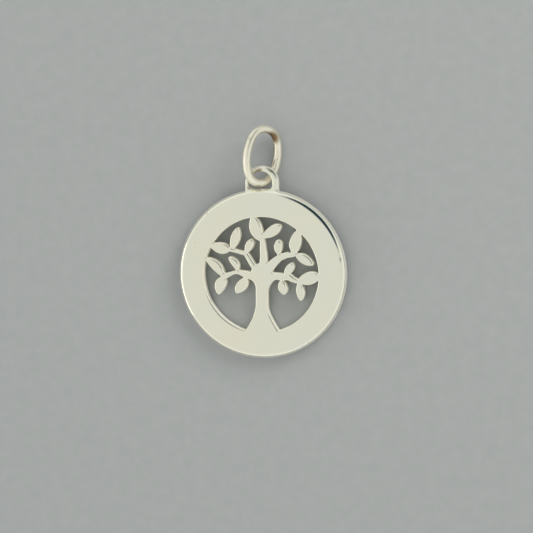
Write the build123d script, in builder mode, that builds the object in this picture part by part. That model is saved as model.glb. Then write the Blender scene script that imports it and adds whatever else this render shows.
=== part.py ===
from build123d import *
import os
from collections import namedtuple
from math import atan2, cos, degrees, hypot, radians, sin, sqrt

# A round silver pendant, pierced with a tree of life, on an oval jump ring, as it lies on a
# flat surface. Millimetres, +Z up, +Y towards the jump ring, and the middle of the whole
# thing's footprint is over the origin. The plate leans a little, because one leg of the
# ring lies under its lug.

# The disc
disc_diameter = 16.17
disc_thickness = 1.2
rim_front_round = 0.5       # polished rounds along the outer rim
rim_back_round = 0.35

# The round opening that holds the tree, a little off the disc's middle
opening_diameter = 11.1
opening_left = 0.11         # its middle, from the disc's
opening_down = 0.09

# Rounds in the pierced work
pierced_edge_round = 0.12   # along the front and back edges of the gaps
tip_round = 0.14            # tips that stand out into the gaps, more than the edges' round
notch_round = 0.06          # the other corners of the gaps
corner_turn = 15            # an outline that turns by more degrees than this has a corner
corner_step = 0.005         # how far off a corner it is seen whether a tip stands there
place_digits = 4            # places that agree to this many decimals are the same

# The lug, an arch with a D-shaped hole
lug_width = 3.25
lug_thickness = 0.7
lug_rise = 0.62             # its arch's centre, above the disc's edge
lug_left_wall = 0.34        # beside the hole
lug_right_wall = 0.64
lug_hole_rise = 0.03        # its flat sill, above the disc's edge
lug_top_bar = 0.53          # between the hole and the lug's top
lug_hole_corner = 0.35
lug_edge_share = 0.46       # rounds along its edges, as a share of its narrowest wall
lug_root = 0.7              # how far the lug reaches into the disc

# The jump ring, an oval of round wire that is soldered shut
ring_length = 5.97          # over all
ring_width = 4.28
ring_wire = 0.78
ring_end_share = 0.88       # the radius of its round ends, as a share of half its width
ring_turn = 7.5             # its long way, in degrees to the right of upright
ring_right = 0.03           # its middle, from the lug's
ring_sill_gap = 0.12        # between its lower end and the hole's sill
ring_bar_gap = 0.02         # between the wire and the lug, over and under it
# Where the wire passes under and over the lug, out from the ring's long way, as shares of
# half the width of the wire's middle line, and the height under the lug where the wire
# passes over it, as a share of that where it passes under
under_share = 0.745
over_share = 0.5
plate_share = 0.97

# The tree. Places are in hundredths of the opening's radius from its middle, and so are
# half widths.
hub = (1, 2, 18.8)          # a round boss where the limbs meet: right, up, radius

Station = namedtuple("Station", "right up half_width")
limbs = {
    "middle stem": [
        Station(4, 14, 7.1),
        Station(4.2, 33, 5.6),
        Station(2.9, 47, 4.6),
        Station(2.2, 64, 3.4),
    ],
    "upper left": [
        Station(-7.7, 7, 4.8),
        Station(-15.4, 17.9, 4.3),
        Station(-26.8, 36.9, 3.8),
        Station(-36.5, 38.8, 2.8),
        Station(-52, 42.7, 2.8),
    ],
    "upper right": [
        Station(8.8, 7, 8.4),
        Station(21.6, 21.2, 6.9),
        Station(31.4, 29.4, 5.6),
        Station(44, 34.5, 4.9),
        Station(55.9, 34.7, 3.2),
    ],
    "lower right": [
        Station(8.7, -2, 6.9),
        Station(28.1, -2.2, 5.8),
        Station(48.5, -3.6, 5.4),
        Station(54.3, -7.5, 4.3),
        Station(62, -10.5, 3.7),
    ],
    "lower left": [
        Station(-8.8, -2.6, 6.5),
        Station(-30.1, 1.7, 5.2),
        Station(-37.8, 4.2, 3.6),
        Station(-45.6, 4.1, 2.8),
        Station(-53.4, 1.5, 3.3),
        Station(-60.2, -1.6, 4.5),
        Station(-65, -1.6, 3.6),
    ],
}

# A leaf runs from its base, inside a limb, to its tip. On each side it has one widest
# place: how far along the leaf that is and how far out from the line between base and tip,
# as shares of that line's length. Left and right are as seen from base to tip. A tip past
# the opening's edge runs into the rim.
Leaf = namedtuple("Leaf", "base_right base_up tip_right tip_up "
                          "left_at left_out right_at right_out")
leaves = [
    Leaf(2.5, 57, -13.6, 104.3, 0.49, 0.28, 0.52, 0.145),
    Leaf(0.5, 64, 35.8, 84.9, 0.69, 0.22, 0.56, 0.22),
    Leaf(31.4, 33.4, 27.9, 60.6, 0.52, 0.235, 0.70, 0.265),
    Leaf(57.6, 34.6, 67.8, 81, 0.44, 0.265, 0.44, 0.155),
    Leaf(58.6, 35.7, 91.9, 17.5, 0.44, 0.225, 0.535, 0.19),
    Leaf(42.7, -2.6, 53.8, 21.9, 0.465, 0.25, 0.635, 0.265),
    Leaf(35, -6.7, 40.3, -34, 0.615, 0.245, 0.535, 0.295),
    Leaf(63, -9.4, 104, -1, 0.53, 0.26, 0.48, 0.265),
    Leaf(66.1, -10.2, 68.4, -45, 0.585, 0.21, 0.47, 0.185),
    Leaf(-26.8, 36.9, -16.6, 62.5, 0.53, 0.215, 0.61, 0.28),
    Leaf(-52, 41.7, -40, 82.3, 0.57, 0.17, 0.54, 0.205),
    Leaf(-52, 44.7, -90.8, 52.3, 0.40, 0.30, 0.42, 0.17),
    Leaf(-40.7, 5.6, -58, 31.5, 0.50, 0.07, 0.45, 0.305),
    Leaf(-64.2, -6.6, -99.7, 29.2, 0.50, 0.06, 0.52, 0.245),
    Leaf(-67, -3.6, -74.7, -35.3, 0.29, 0.255, 0.415, 0.325),
    Leaf(-26.2, -3.3, -43.5, -32.3, 0.475, 0.30, 0.60, 0.25),
]

# The trunk's two sides, each from the shoulder under its limb down to a foot in the rim.
# Between two places the side is one arc, and each arc goes on smoothly from the last. The
# first one starts straight down from the trunk's waist, and the shoulder is one arc up.
trunk_top = [(-30, 0), (26, 0)]     # inside the limbs
trunk_left_shoulder = (-25, -6.2)
trunk_left_waist = (-9.6, -23)
trunk_left_foot = [(-9.6, -47), (-14.3, -71), (-25.2, -91.5), (-32, -104)]
trunk_right_shoulder = (27, -6.7)
trunk_right_waist = (10.7, -33)
trunk_right_foot = [(10.7, -53), (15, -71), (27.9, -94), (36, -105)]

# The plate and the ring as they lie. The ring's lengths are those of its wire's middle line.
disc_radius = disc_diameter / 2
opening_radius = opening_diameter / 2
arch_up = disc_radius + lug_rise
lug_top = arch_up + lug_width / 2
sill_up = disc_radius + lug_hole_rise
lug_hole_width = lug_width - lug_left_wall - lug_right_wall
lug_edge_round = lug_edge_share * min(lug_left_wall, lug_right_wall, lug_top_bar)
wire_radius = ring_wire / 2
half_ring_length = ring_length / 2 - wire_radius
half_ring_width = ring_width / 2 - wire_radius
ring_end_radius = ring_end_share * half_ring_width

# The ring leans on the lug: the wire passes under the bar at one side, lying on the
# surface there, and over it at the other. The sines of the ring's roll about its long way
# and of the plate's lean follow from the wire, the lug's thickness and the gap.
roll_rise = 2 * plate_share * wire_radius + (1 + plate_share) * ring_bar_gap + lug_thickness
roll_run = half_ring_width * (1 + over_share - plate_share * (1 - under_share))
roll_sine = roll_rise / roll_run
roll_cosine = sqrt(1 - roll_sine ** 2)
under_height = 2 * wire_radius + ring_bar_gap + half_ring_width * (1 - under_share) * roll_sine

# The ring's place over the disc, seen from above
turn = radians(ring_turn)
end_reach = hypot(ring_end_radius * cos(turn), ring_end_radius * roll_cosine * sin(turn))
ring_reach = (half_ring_length - ring_end_radius) * cos(turn) + end_reach + wire_radius
ring_y = sill_up + ring_sill_gap + ring_reach
leg_x = ring_right + half_ring_width * roll_cosine * cos(turn)
leg_y = ring_y - half_ring_width * roll_cosine * sin(turn)

# The plate leans about the place on its rim opposite the leg that lifts it
lean_bearing = degrees(atan2(leg_y, leg_x))
rim_foot = disc_radius - rim_back_round
lug_recess = (disc_thickness - lug_thickness) / 2
lean_sine = (under_height - lug_recess) / (rim_foot + arch_up + lug_rise)
lean_cosine = sqrt(1 - lean_sine ** 2)
disc_height = rim_foot * lean_sine + rim_back_round * (1 - lean_cosine)

# The middle of the footprint is over the origin. The disc reaches furthest down along +Y at
# its front edge's round.
fall = lean_sine * sin(radians(lean_bearing))
round_reach = (disc_radius - rim_front_round) * sqrt(1 - fall ** 2) + rim_front_round
disc_reach = round_reach + (disc_thickness - rim_front_round) * fall
disc_y = (disc_reach - ring_y - ring_reach) / 2

plate_normal = Vector(
    -lean_sine * cos(radians(lean_bearing)),
    -lean_sine * sin(radians(lean_bearing)),
    lean_cosine,
)
plate_back = Plane(
    origin=(0, disc_y, disc_height),
    x_dir=Vector(0, 1, 0).cross(plate_normal),
    z_dir=plate_normal,
)
lug_back = plate_back.offset(lug_recess)

ring_long_way = Vector(sin(turn), cos(turn), 0)
ring_short_way = Vector(cos(turn) * roll_cosine, -sin(turn) * roll_cosine, -roll_sine)
ring_plane = Plane(
    origin=(ring_right, disc_y + ring_y, wire_radius + half_ring_width * roll_sine),
    x_dir=ring_short_way,
    z_dir=ring_short_way.cross(ring_long_way),
)


def in_opening(right, up):
    """A place in the opening, from hundredths of its radius."""
    return Vector(right, up) * opening_radius / 100


def in_width(half_width):
    """A half width in the tree, from hundredths of the opening's radius."""
    return half_width * opening_radius / 100


def oval_side_radius(half_length, half_width, end_radius):
    """The radius of the long arcs of an oval made of four arcs that meet smoothly."""
    rise = half_length ** 2 + half_width ** 2 - 2 * half_length * end_radius
    return rise / (2 * (half_width - end_radius))


def oval_wire(half_length, half_width, end_radius, plane):
    """An upright oval of four arcs in a plane."""
    side_radius = oval_side_radius(half_length, half_width, end_radius)
    side_centre = side_radius - half_width
    end_centre = half_length - end_radius
    reach = side_radius / (side_radius - end_radius)
    joint_x = side_centre * (reach - 1)
    joint_y = end_centre * reach
    with BuildLine(plane) as outline:
        ThreePointArc((joint_x, joint_y), (0, half_length), (-joint_x, joint_y))
        ThreePointArc((-joint_x, joint_y), (-half_width, 0), (-joint_x, -joint_y))
        ThreePointArc((-joint_x, -joint_y), (0, -half_length), (joint_x, -joint_y))
        ThreePointArc((joint_x, -joint_y), (half_width, 0), (joint_x, joint_y))
    return outline.line


def arch(middle, width, foot, top):
    """A round-headed arch, from its foot to its top."""
    left = middle - width / 2
    right = middle + width / 2
    spring = top - width / 2
    with BuildSketch() as shape:
        with BuildLine():
            Polyline((left, spring), (left, foot), (right, foot), (right, spring))
            ThreePointArc((right, spring), (middle, top), (left, spring))
        make_face()
    return shape.sketch


def limb(stations):
    """A limb that tapers from station to station, with round ends."""
    with BuildSketch() as shape:
        for near, far in zip(stations, stations[1:]):
            near_end = Circle(in_width(near.half_width), mode=Mode.PRIVATE)
            far_end = Circle(in_width(far.half_width), mode=Mode.PRIVATE)
            near_end = Pos(in_opening(near.right, near.up)) * near_end
            far_end = Pos(in_opening(far.right, far.up)) * far_end
            make_hull(near_end.edges() + far_end.edges())
    return shape.sketch


def leaf(row):
    """A leaf of two arcs a side, which meet where that side is widest."""
    base = in_opening(row.base_right, row.base_up)
    tip = in_opening(row.tip_right, row.tip_up)
    along = tip - base
    out = Vector(-along.Y, along.X)
    left = base + along * row.left_at + out * row.left_out
    right = base + along * row.right_at - out * row.right_out
    with BuildSketch() as shape:
        with BuildLine():
            TangentArc(left, tip, tangent=along)
            TangentArc(left, base, tangent=-along)
            TangentArc(right, tip, tangent=along)
            TangentArc(right, base, tangent=-along)
        make_face()
    return shape.sketch


def trunk():
    """The trunk, between its two shoulders and its two feet."""
    sides = [
        (trunk_left_shoulder, trunk_left_waist, trunk_left_foot),
        (trunk_right_shoulder, trunk_right_waist, trunk_right_foot),
    ]
    with BuildSketch() as shape:
        with BuildLine():
            for shoulder, waist, foot in sides:
                TangentArc(in_opening(*waist), in_opening(*shoulder), tangent=(0, 1))
                side = Line(in_opening(*waist), in_opening(*foot[0]))
                for place in foot[1:]:
                    side = TangentArc(side @ 1, in_opening(*place), tangent=side % 1)
            Polyline(
                in_opening(*trunk_left_shoulder),
                *[in_opening(*place) for place in trunk_top],
                in_opening(*trunk_right_shoulder),
            )
            Line(in_opening(*trunk_left_foot[-1]), in_opening(*trunk_right_foot[-1]))
        make_face()
    return shape.sketch


with BuildSketch() as tree:
    with Locations(in_opening(*hub[:2])):
        Circle(in_width(hub[2]))
    add(trunk())
    for stations in limbs.values():
        add(limb(stations))
    for row in leaves:
        add(leaf(row))

with BuildSketch() as gaps:
    Circle(opening_radius)
    add(tree.sketch, mode=Mode.SUBTRACT)

upright = Axis(plate_back.origin, plate_back.z_dir)


def corner_edges(gap, tips):
    """The upright edges where a gap's walls meet at a corner, either at the tips that stand
    into the gap or at its other corners."""
    edges = {}
    wall_normals = {}
    for wall in gap.faces():
        for edge in wall.edges().filter_by(upright):
            place = tuple(round(value, place_digits) for value in edge @ 0.5)
            edges[place] = edge
            wall_normals.setdefault(place, []).append(wall.normal_at(edge @ 0.5))
    chosen = []
    for place, (one_normal, other_normal) in wall_normals.items():
        across = (one_normal + other_normal).cross(upright.direction).normalized()
        beside = edges[place] @ 0.5 + across * corner_step
        if one_normal.get_angle(other_normal) > corner_turn:
            if gap.is_inside(beside) == tips:
                chosen.append(edges[place])
    return chosen


# The gaps as solids, with their corners rounded
with BuildPart() as gap_solids:
    with BuildSketch(plate_back):
        with Locations((-opening_left, -opening_down)):
            add(gaps.sketch)
    extrude(amount=disc_thickness)
    tips = [edge for gap in gap_solids.solids() for edge in corner_edges(gap, tips=True)]
    fillet(tips, tip_round)
    notches = [edge for gap in gap_solids.solids() for edge in corner_edges(gap, tips=False)]
    fillet(notches, notch_round)

with BuildSketch() as lug_hole:
    add(arch((lug_left_wall - lug_right_wall) / 2, lug_hole_width, sill_up, lug_top - lug_top_bar))
    fillet(lug_hole.vertices().group_by(Axis.Y)[0], lug_hole_corner)

with BuildPart() as lug:
    with BuildSketch(lug_back):
        add(arch(0, lug_width, arch_up - lug_rise - lug_root, lug_top))
        add(lug_hole.sketch, mode=Mode.SUBTRACT)
    extrude(amount=lug_thickness)
    lug_faces = lug.faces().filter_by(upright).sort_by(upright)
    root_faces = lug.faces().sort_by(Axis(plate_back.origin, plate_back.y_dir))[0]
    rims = [edge for face in lug_faces for edge in face.edges()]
    fillet([edge for edge in rims if edge not in root_faces.edges()], lug_edge_round)

with BuildPart() as tree_disc:
    with BuildSketch(plate_back):
        Circle(disc_radius)
    extrude(amount=disc_thickness)
    fillet(tree_disc.edges().filter_by(GeomType.CIRCLE).sort_by(upright)[-1], rim_front_round)
    fillet(tree_disc.edges().filter_by(GeomType.CIRCLE).sort_by(upright)[0], rim_back_round)
    add(lug.part)
    add(gap_solids.part, mode=Mode.SUBTRACT)
    flats = tree_disc.faces().filter_by(upright).sort_by(upright)
    gap_rims = [flats[0].inner_wires(), flats[-1].inner_wires()]
    fillet([edge for wires in gap_rims for wire in wires for edge in wire.edges()],
           pierced_edge_round)

with BuildPart() as jump_ring:
    middle_line = oval_wire(half_ring_length, half_ring_width, ring_end_radius, ring_plane)
    with BuildSketch(Plane(origin=middle_line @ 0, z_dir=middle_line % 0)):
        Circle(wire_radius)
    sweep(path=middle_line)

os.makedirs("parts", exist_ok=True)
tree_disc.part.label = "tree_disc"
export_step(tree_disc.part, "parts/tree_disc.step")
jump_ring.part.label = "jump_ring"
export_step(jump_ring.part, "parts/jump_ring.step")
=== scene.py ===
# %% [markdown]
# # A pierced silver pendant
#
# The real pendant is cast in sterling silver: a flat round plate, pierced right through with
# a leafy tree, with an arched lug that holds an oval jump ring of round wire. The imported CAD
# model already has every one of these shapes, with its rounds, so it stays as it is. This
# lesson sets up the camera, the floor and the light of the photograph, and then gives the
# model its metal.

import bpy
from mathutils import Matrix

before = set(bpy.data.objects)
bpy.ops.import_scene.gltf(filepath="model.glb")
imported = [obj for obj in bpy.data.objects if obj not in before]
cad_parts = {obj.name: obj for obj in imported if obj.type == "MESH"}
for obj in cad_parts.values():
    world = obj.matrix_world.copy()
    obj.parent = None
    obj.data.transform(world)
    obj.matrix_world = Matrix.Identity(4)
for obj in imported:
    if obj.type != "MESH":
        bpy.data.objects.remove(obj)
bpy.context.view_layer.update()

# %% Modules and a millimetre
import math

import bmesh
import bpy
from mathutils import Matrix, Vector

MM = 0.001  # the scene is in metres
print("a millimetre is", MM, "m")


# %% [markdown]
# ## The camera
#
# The photograph was taken from almost straight above, with a macro lens. Its frame is
# 50.9 mm wide where the plate lies. The round plate looks 2% narrower along one way than the
# other, and the walls of the pierced work show at their upper right sides. Both fit a view
# about 12 degrees off the plate's own upright. The plate leans by 3 degrees on the ring's leg,
# and the camera stands 10 degrees off upright, over the right.
#
# A direction is given by how far it leans from upright, and by the bearing on the floor that
# it leans towards. The opening of the light tent and the softboxes are placed by it too.

# %% Directions over the floor
def direction(lean, bearing):
    """The unit vector that leans from upright towards a bearing from +X, in degrees."""
    lean, bearing = math.radians(lean), math.radians(bearing)
    return Vector((
        math.sin(lean) * math.cos(bearing), math.sin(lean) * math.sin(bearing), math.cos(lean)))


towards_camera = direction(10, 16)
print("towards the camera:", towards_camera)

# %% Place the camera
frame_width = 50.87 * MM
camera_distance = 300 * MM
look_at = Vector((0.294, -2.391, 0.8)) * MM

camera_right = Vector((0, 1, 0)).cross(towards_camera).normalized()
camera_up = towards_camera.cross(camera_right)

camera_data = bpy.data.cameras.new("camera")
camera_data.sensor_width = 36
camera_data.lens = camera_data.sensor_width * camera_distance / frame_width
camera_data.clip_start = 10 * MM
camera = bpy.data.objects.new("camera", camera_data)
camera.matrix_world = Matrix.Translation(look_at + towards_camera * camera_distance) @ Matrix(
    (camera_right, camera_up, towards_camera)).transposed().to_4x4()
bpy.context.scene.collection.objects.link(camera)
bpy.context.scene.camera = camera
print("lens:", round(camera_data.lens, 1), "mm")


# %% [markdown]
# ## The floor
#
# The pendant lies on a plain pale grey sheet of matt paper, so that the silver stands out as
# brighter than what it lies on. A grid from bmesh is enough, because the faint unevenness of
# the paper comes from its material.
#
# A material is a tree of nodes. Colours are written as the sRGB hex values that a colour
# picker shows. A shader works in linear light, so one function turns them. Another adds a node
# with its settings, and gives each input either a plain value or a link from another node.
# Some nodes have several inputs of one name, and those go by their number.

# %% Colours and nodes
FIRST, SECOND = 0, 1  # the inputs of a Math node
FACTOR, VALUE_A, VALUE_B, COLOUR_A, COLOUR_B = 0, 2, 3, 6, 7  # the inputs of a Mix node
MIXED_VALUE, MIXED_COLOUR = 0, 2  # its outputs


def linear(hex_colour):
    """The linear RGBA of an sRGB hex colour."""
    channels = [int(hex_colour[i:i + 2], 16) / 255 for i in (1, 3, 5)]
    return (*[c / 12.92 if c <= 0.04045 else ((c + 0.055) / 1.055) ** 2.4 for c in channels], 1.0)


def add_node(tree, kind, settings, inputs):
    """Adds a node, sets its properties, and sets or links its inputs."""
    node = tree.nodes.new(kind)
    for name, value in settings.items():
        setattr(node, name, value)
    for key, value in inputs.items():
        if isinstance(value, bpy.types.NodeSocket):
            tree.links.new(value, node.inputs[key])
        else:
            node.inputs[key].default_value = value
    return node


def new_material(name):
    """An empty node material and its node tree."""
    material = bpy.data.materials.new(name)
    material.use_nodes = True
    material.node_tree.nodes.clear()
    return material, material.node_tree


paper_greys = linear("#A6A9AD"), linear("#B3B6B9")
print("paper in linear light:", paper_greys)

# %% Matt paper
# Uncoated paper: rough, pale grey, with a fibre grain of about a millimetre.
paper, tree = new_material("matt paper")
place = add_node(tree, "ShaderNodeTexCoord", {}, {}).outputs["Object"]
fibres = add_node(tree, "ShaderNodeTexNoise", {}, {
    "Vector": place, "Scale": 900.0, "Detail": 6.0, "Roughness": 0.6})
tint = add_node(tree, "ShaderNodeMix", {"data_type": "RGBA"}, {
    FACTOR: fibres.outputs["Fac"], COLOUR_A: paper_greys[0], COLOUR_B: paper_greys[1]})
grain = add_node(tree, "ShaderNodeBump", {}, {
    "Height": fibres.outputs["Fac"], "Strength": 0.15, "Distance": 0.05 * MM})
surface = add_node(tree, "ShaderNodeBsdfPrincipled", {}, {
    "Base Color": tint.outputs[MIXED_COLOUR], "Roughness": 0.9,
    "Normal": grain.outputs["Normal"]})
add_node(tree, "ShaderNodeOutputMaterial", {}, {"Surface": surface.outputs["BSDF"]})
print(paper.name, "has", len(tree.nodes), "nodes")

# %% Lay the floor
floor_size = 1200 * MM
floor_shape = bmesh.new()
bmesh.ops.create_grid(floor_shape, x_segments=4, y_segments=4, size=floor_size / 2)
floor_mesh = bpy.data.meshes.new("floor")
floor_shape.to_mesh(floor_mesh)
floor_shape.free()
floor_mesh.materials.append(paper)
floor = bpy.data.objects.new("floor", floor_mesh)
bpy.context.scene.collection.objects.link(floor)
print("floor:", floor_size, "m square")


# %% [markdown]
# ## The light
#
# Polished silver shows what stands around it. Small silver is photographed in a light tent of
# white cloth, so the plate's face, its rounded edges and the wire all mirror the same even
# ivory. Area lights alone would show there as bright patches with dark metal between them.
#
# The tent has one opening, at the upper right. Only the rounded edges that turn towards
# it mirror the dim blue room outside, and that draws the dark crescent on the rim and the thin
# dark lines in the tree. The tent is a world whose colour depends on the direction: its sides
# are lit a little more than its top, and a dark hem runs round it just over the floor.
#
# The opening is a soft oval. The space around its middle is turned and stretched until the
# oval is a ball of radius 1, and then the distance from the middle says how much of it is
# there. The same function makes the marks on the metal further on.
#
# Two soft area lights add to the tent. The right one lights the matt walls inside the pierced
# work. It is kept out of reflections, because a second bright shape would cut the crescent in
# two. The left one stands low and draws the thin light line along the left of the rim.

# %% The tent's opening
def oval(tree, place, name, middle, turn, half_sizes, border, strength):
    """A soft oval patch round a place: 0 outside, and its strength inside the border's share."""
    moved = add_node(tree, "ShaderNodeMapping", {"vector_type": "TEXTURE", "label": name}, {
        "Vector": place, "Location": middle, "Rotation": (0.0, 0.0, math.radians(turn)),
        "Scale": half_sizes})
    distance = add_node(tree, "ShaderNodeVectorMath", {"operation": "LENGTH"}, {
        FIRST: moved.outputs["Vector"]})
    return add_node(tree, "ShaderNodeMapRange", {"interpolation_type": "SMOOTHSTEP"}, {
        "Value": distance.outputs["Value"], "From Min": 1.0, "From Max": border,
        "To Max": strength}).outputs["Result"]


tent = bpy.data.worlds.new("light tent")
tent.use_nodes = True
tree = tent.node_tree
tree.nodes.clear()
looking = add_node(tree, "ShaderNodeTexCoord", {}, {}).outputs["Generated"]
opening_lean, opening_bearing = 35, 50
opening_middle = direction(opening_lean, opening_bearing)
opening = oval(
    tree, looking, "opening", opening_middle, opening_bearing, half_sizes=(0.6, 0.4, 0.6),
    border=0.72, strength=1.0)
print("middle of the tent's opening:", opening_middle)

# %% The tent's cloth
seen = add_node(tree, "ShaderNodeMix", {"data_type": "RGBA"}, {
    FACTOR: opening, COLOUR_A: linear("#DFE0D9"), COLOUR_B: linear("#273B47")})
height = add_node(tree, "ShaderNodeSeparateXYZ", {}, {"Vector": looking})
sides = add_node(tree, "ShaderNodeMapRange", {"interpolation_type": "SMOOTHSTEP"}, {
    "Value": height.outputs["Z"], "From Min": 0.9, "From Max": 0.35, "To Min": 1.0,
    "To Max": 1.25})
hem = add_node(tree, "ShaderNodeMapRange", {"interpolation_type": "SMOOTHSTEP"}, {
    "Value": height.outputs["Z"], "From Min": 0.16, "From Max": 0.08, "To Min": 1.0,
    "To Max": 0.4})
strength = add_node(tree, "ShaderNodeMath", {"operation": "MULTIPLY"}, {
    FIRST: sides.outputs["Result"], SECOND: hem.outputs["Result"]})
glow = add_node(tree, "ShaderNodeBackground", {}, {
    "Color": seen.outputs[MIXED_COLOUR], "Strength": strength.outputs["Value"]})
add_node(tree, "ShaderNodeOutputWorld", {}, {"Surface": glow.outputs["Background"]})
bpy.context.scene.world = tent
bpy.context.scene.view_settings.view_transform = "Standard"
print("world:", tent.name)


# %% Two low softboxes
def softbox(name, way, distance, width, height, power):
    """A rectangular area light, in mm and watts, that faces the pendant from a direction."""
    light = bpy.data.lights.new(name, "AREA")
    light.shape = "RECTANGLE"
    light.size = width * MM
    light.size_y = height * MM
    light.energy = power
    light.color = linear("#FFFCF2")[:3]
    holder = bpy.data.objects.new(name, light)
    holder.location = way * distance * MM
    holder.rotation_euler = way.to_track_quat("Z", "Y").to_euler()
    holder.visible_camera = False
    bpy.context.scene.collection.objects.link(holder)
    return holder


wall_light = softbox(
    "right softbox", direction(62, 48), distance=400, width=220, height=220, power=0.7)
wall_light.visible_glossy = False
rim_light = softbox(
    "left softbox", direction(75, 190), distance=400, width=300, height=130, power=0.12)
print("lights:", wall_light.name, "and", rim_light.name)


# %% [markdown]
# ## Polished silver
#
# Sterling silver is a warm, very bright metal. The plate was buffed after casting, so its
# face is nearly a mirror, with the finest strokes of the buff, faint clouds of warmer and
# cooler white, and a few pores of the casting. Brown tarnish stays where nothing rubs it off.
#
# The tarnish could be painted by hand, but the shape itself can tell where it is sheltered: an
# ambient occlusion node measures how little of the open a place sees. A noise breaks the
# tarnish into patches. On the lug's bar, a brown painted reflection and shade beside the
# ring's leg and a thin line of painted shade along the bar's rounded edge are two ovals, and
# the pores are the middles of a few cells of a Voronoi pattern.

# %% Tarnish in the plate's corners
# Sterling silver, cast and buffed: metallic, warm white, brown where it is sheltered.
plate_silver, tree = new_material("buffed sterling silver")
coordinates = add_node(tree, "ShaderNodeTexCoord", {}, {})
place = coordinates.outputs["Object"]
shelter = add_node(tree, "ShaderNodeAmbientOcclusion", {"samples": 6}, {
    "Distance": 0.45 * MM})
hidden = add_node(tree, "ShaderNodeMapRange", {"clamp": True}, {
    "Value": shelter.outputs["AO"], "From Min": 0.56, "From Max": 0.25})
patches = add_node(tree, "ShaderNodeTexNoise", {}, {
    "Vector": place, "Scale": 2200.0, "Detail": 3.0, "Roughness": 0.6})
uneven = add_node(tree, "ShaderNodeMapRange", {"clamp": True}, {
    "Value": patches.outputs["Fac"], "From Min": 0.35, "From Max": 0.65, "To Min": 0.35})
corners = add_node(tree, "ShaderNodeMath", {"operation": "MULTIPLY"}, {
    FIRST: hidden.outputs["Result"], SECOND: uneven.outputs["Result"]}).outputs["Value"]
print("tarnish in the corners:", len(tree.nodes), "nodes")


# %% Pores, and painted reflection and shade on the lug's bar
def mm(values):
    """Numbers in millimetres, turned to metres."""
    return [MM * value for value in values]


def strongest(tree, marks):
    """The strongest of several marks at each place."""
    result = marks[0]
    for mark in marks[1:]:
        result = add_node(tree, "ShaderNodeMath", {"operation": "MAXIMUM"}, {
            FIRST: result, SECOND: mark}).outputs["Value"]
    return result


# Painted reflection and shade: a brown oval on the lug's bar beside the ring's leg.
lug_bar_painted_reflection_and_shade = oval(
    tree, place, "painted reflection and shade on the lug's bar", middle=mm((-0.4, 6.66, 1.8)), turn=35,
    half_sizes=mm((0.65, 0.32, 0.9)), border=0.4, strength=0.75)
# Painted shade: a thin dark line along the rounded inner edge of the lug's bar.
lug_bar_painted_shade_line = oval(
    tree, place, "painted shade line on the lug's bar", middle=mm((0.85, 6.7, 1.8)), turn=-35,
    half_sizes=mm((0.42, 0.08, 0.9)), border=0.4, strength=0.7)
cells = add_node(tree, "ShaderNodeTexVoronoi", {}, {"Vector": place, "Scale": 650.0})
cell_threshold = 0.62  # cells with a lighter random grey have a pore
chosen = add_node(tree, "ShaderNodeMath", {"operation": "GREATER_THAN"}, {
    FIRST: cells.outputs["Color"], SECOND: cell_threshold})
cell_middle = add_node(tree, "ShaderNodeMapRange", {"clamp": True}, {
    "Value": cells.outputs["Distance"], "From Min": 0.09, "From Max": 0.04, "To Max": 0.3})
pore = add_node(tree, "ShaderNodeMath", {"operation": "MULTIPLY"}, {
    FIRST: chosen.outputs["Value"], SECOND: cell_middle.outputs["Result"]}).outputs["Value"]
# Tarnish in the corners and the pores, together with the painted reflection and shade on the
# lug's bar.
tarnish_and_painted_shade = strongest(tree, [corners, lug_bar_painted_reflection_and_shade, lug_bar_painted_shade_line, pore])
print("with pores and marks:", len(tree.nodes), "nodes")

# %% Clouds of white, and where they turn brown
brown = linear("#8C6A38")
clouds = add_node(tree, "ShaderNodeTexNoise", {}, {
    "Vector": place, "Scale": 260.0, "Detail": 2.0})
white = add_node(tree, "ShaderNodeMix", {"data_type": "RGBA"}, {
    FACTOR: clouds.outputs["Fac"], COLOUR_A: linear("#F9F3E2"), COLOUR_B: linear("#F0F3EA")})
# Brown where tarnished, and as painted reflection and shade on the lug's bar.
buffed_colour = add_node(tree, "ShaderNodeMix", {"data_type": "RGBA"}, {
    FACTOR: tarnish_and_painted_shade, COLOUR_A: white.outputs[MIXED_COLOUR], COLOUR_B: brown})
buffed_roughness = add_node(tree, "ShaderNodeMapRange", {}, {
    "Value": tarnish_and_painted_shade, "To Min": 0.09, "To Max": 0.5})
print("brown in linear light:", brown)

# %% [markdown]
# The buff also rounds every edge, the outer rim most of all. The mesh already has the rounds
# of the casting and stays as it is, so a bevel node softens the shading alone. The outer rim is
# told by its distance from the middle of the plate. The strokes of the buff are a noise that is
# stretched along one way, and a bump node puts them on top of the bevel.

# %% Softened edges and the strokes of the buff
plate_middle = mm((0.0, -3.06, 1.2))
face_radius, rim_radius = mm((7.0, 7.4))  # where the face ends, and where the outer rim is
face_softness, rim_softness = mm((0.14, 0.35))
stroke_bearing = math.radians(35)
from_middle = add_node(tree, "ShaderNodeVectorMath", {"operation": "DISTANCE"}, {
    FIRST: place, SECOND: plate_middle})
outside = add_node(tree, "ShaderNodeMapRange", {"clamp": True}, {
    "Value": from_middle.outputs["Value"], "From Min": face_radius, "From Max": rim_radius})
softness = add_node(tree, "ShaderNodeMapRange", {}, {
    "Value": outside.outputs["Result"], "To Min": face_softness, "To Max": rim_softness})
softened = add_node(tree, "ShaderNodeBevel", {"samples": 8}, {
    "Radius": softness.outputs["Result"]})
strokes = add_node(tree, "ShaderNodeMapping", {}, {
    "Vector": place, "Rotation": (0.0, 0.0, stroke_bearing), "Scale": (0.1, 1.0, 1.0)})
buffing = add_node(tree, "ShaderNodeTexNoise", {}, {
    "Vector": strokes.outputs["Vector"], "Scale": 9000.0, "Detail": 4.0, "Roughness": 0.7})
scratches = add_node(tree, "ShaderNodeBump", {}, {
    "Height": buffing.outputs["Fac"], "Strength": 0.04, "Distance": 0.01 * MM,
    "Normal": softened.outputs["Normal"]})
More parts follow.
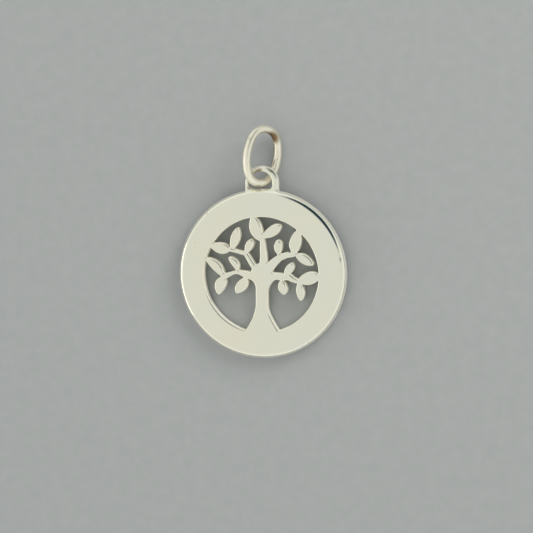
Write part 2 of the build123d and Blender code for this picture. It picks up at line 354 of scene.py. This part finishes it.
print("middle of the plate:", plate_middle)

# %% [markdown]
# The buff doesn't reach into the pierced work, whose walls keep the matt white skin of cast
# silver. The outside wall is in between. A wall is told by its normal, which points across the
# plate instead of out of it.

# %% The cast skin of the walls
plate_upright = (-0.006, -0.05, 0.998)
flat_enough, steep_enough = 0.66, 0.45  # cosines of the angle to the plate's upright
facing = add_node(tree, "ShaderNodeVectorMath", {"operation": "DOT_PRODUCT"}, {
    FIRST: coordinates.outputs["Normal"], SECOND: plate_upright})
upright = add_node(tree, "ShaderNodeMath", {"operation": "ABSOLUTE"}, {
    FIRST: facing.outputs["Value"]})
wall = add_node(tree, "ShaderNodeMapRange", {"clamp": True}, {
    "Value": upright.outputs["Value"], "From Min": flat_enough,
    "From Max": steep_enough}).outputs["Result"]
# The walls take the same tarnish and painted shade.
skin_colour = add_node(tree, "ShaderNodeMix", {"data_type": "RGBA"}, {
    FACTOR: tarnish_and_painted_shade, COLOUR_A: linear("#FFFDF2"), COLOUR_B: brown})
skin_metallic = add_node(tree, "ShaderNodeMapRange", {}, {
    "Value": outside.outputs["Result"], "To Min": 0.15, "To Max": 0.6})
skin_roughness = add_node(tree, "ShaderNodeMapRange", {}, {
    "Value": outside.outputs["Result"], "To Min": 0.6, "To Max": 0.3})
print("out of the plate:", plate_upright)

# %% The plate's silver
colour = add_node(tree, "ShaderNodeMix", {"data_type": "RGBA"}, {
    FACTOR: wall, COLOUR_A: buffed_colour.outputs[MIXED_COLOUR],
    COLOUR_B: skin_colour.outputs[MIXED_COLOUR]})
metallic = add_node(tree, "ShaderNodeMix", {"data_type": "FLOAT"}, {
    FACTOR: wall, VALUE_A: 1.0, VALUE_B: skin_metallic.outputs["Result"]})
roughness = add_node(tree, "ShaderNodeMix", {"data_type": "FLOAT"}, {
    FACTOR: wall, VALUE_A: buffed_roughness.outputs["Result"],
    VALUE_B: skin_roughness.outputs["Result"]})
surface = add_node(tree, "ShaderNodeBsdfPrincipled", {}, {
    "Base Color": colour.outputs[MIXED_COLOUR], "Metallic": metallic.outputs[MIXED_VALUE],
    "Roughness": roughness.outputs[MIXED_VALUE], "Normal": scratches.outputs["Normal"]})
add_node(tree, "ShaderNodeOutputMaterial", {}, {"Surface": surface.outputs["BSDF"]})
print(plate_silver.name, "has", len(tree.nodes), "nodes")


# %% [markdown]
# ## Soldered wire
#
# The jump ring is bent from silver wire and soldered shut. No buff goes over it after that, so
# it is duller and yellower than the plate. Brown tarnish stays on its inner side, most of it
# round the top right. On its right leg the solder left a thin dark seam along the wire, and
# there is a small pit beside it. A short dark mark crosses the left shoulder. One noise could
# scatter such marks, but the photograph shows where each of them sits, so each is an oval at
# its own place on the wire. A noise then makes the whole of it a little blotchy.

# %% Marks on the ring
# Silver wire, soldered and left as it came: duller, yellowish, brown on its inner side.
ring_silver, tree = new_material("soldered silver wire")
place = add_node(tree, "ShaderNodeTexCoord", {}, {}).outputs["Object"]
marks = [
    oval(tree, place, name, mm(middle), turn, mm(half_sizes), border=0.35, strength=strength)
    for name, middle, turn, half_sizes, strength in (  # in mm and degrees
        ("inner side, top right", (0.98, 9.9, 1.3), 35, (0.75, 0.95, 1.2), 0.9),
        ("inner side, top", (0.4, 10.26, 1.5), 0, (0.75, 0.24, 1.2), 0.7),
        ("inner side, right leg", (0.96, 8.7, 0.8), -4, (0.2, 1.3, 0.8), 0.65),
        ("solder seam", (1.0, 7.5, 0.8), -18, (0.1, 0.55, 0.45), 0.75),
        ("pit", (1.35, 7.84, 0.95), 0, (0.1, 0.08, 0.3), 0.95),
        ("mark on the left shoulder", (-0.94, 9.77, 2.7), -20, (0.09, 0.36, 0.6), 0.6),
        # Painted shade where the lower bend lies inside the lug's hole, with a little tarnish
        # where it touches the lug.
        ("painted shade on the lower bend", (-0.45, 5.28, 1.7), 10, (0.55, 0.26, 0.7), 0.35),
    )]
print("marks on the ring:", len(marks))

# %% The ring's silver
colour = add_node(tree, "ShaderNodeMix", {"data_type": "RGBA"}, {
    FACTOR: strongest(tree, marks), COLOUR_A: linear("#FFFDF3"), COLOUR_B: linear("#72521E")})
patches = add_node(tree, "ShaderNodeTexNoise", {}, {
    "Vector": place, "Scale": 1500.0, "Detail": 4.0, "Roughness": 0.6})
worn = add_node(tree, "ShaderNodeMix", {"data_type": "RGBA", "blend_type": "MULTIPLY"}, {
    FACTOR: patches.outputs["Fac"], COLOUR_A: colour.outputs[MIXED_COLOUR],
    COLOUR_B: linear("#FFFAEE")})
roughness = add_node(tree, "ShaderNodeMapRange", {}, {
    "Value": patches.outputs["Fac"], "To Min": 0.36, "To Max": 0.52})
drawing_marks = add_node(tree, "ShaderNodeBump", {}, {
    "Height": patches.outputs["Fac"], "Strength": 0.12, "Distance": 0.02 * MM})
surface = add_node(tree, "ShaderNodeBsdfPrincipled", {}, {
    "Base Color": worn.outputs[MIXED_COLOUR], "Metallic": 1.0,
    "Roughness": roughness.outputs["Result"], "Normal": drawing_marks.outputs["Normal"]})
add_node(tree, "ShaderNodeOutputMaterial", {}, {"Surface": surface.outputs["BSDF"]})
print(ring_silver.name, "has", len(tree.nodes), "nodes")

# %% Give the plate and the ring their silver
for name, silver in (("tree_disc", plate_silver), ("jump_ring", ring_silver)):
    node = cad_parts[name]
    for slot in node.material_slots:
        slot.material = silver
    print(name, "has", len(node.data.polygons), "triangles in", silver.name)
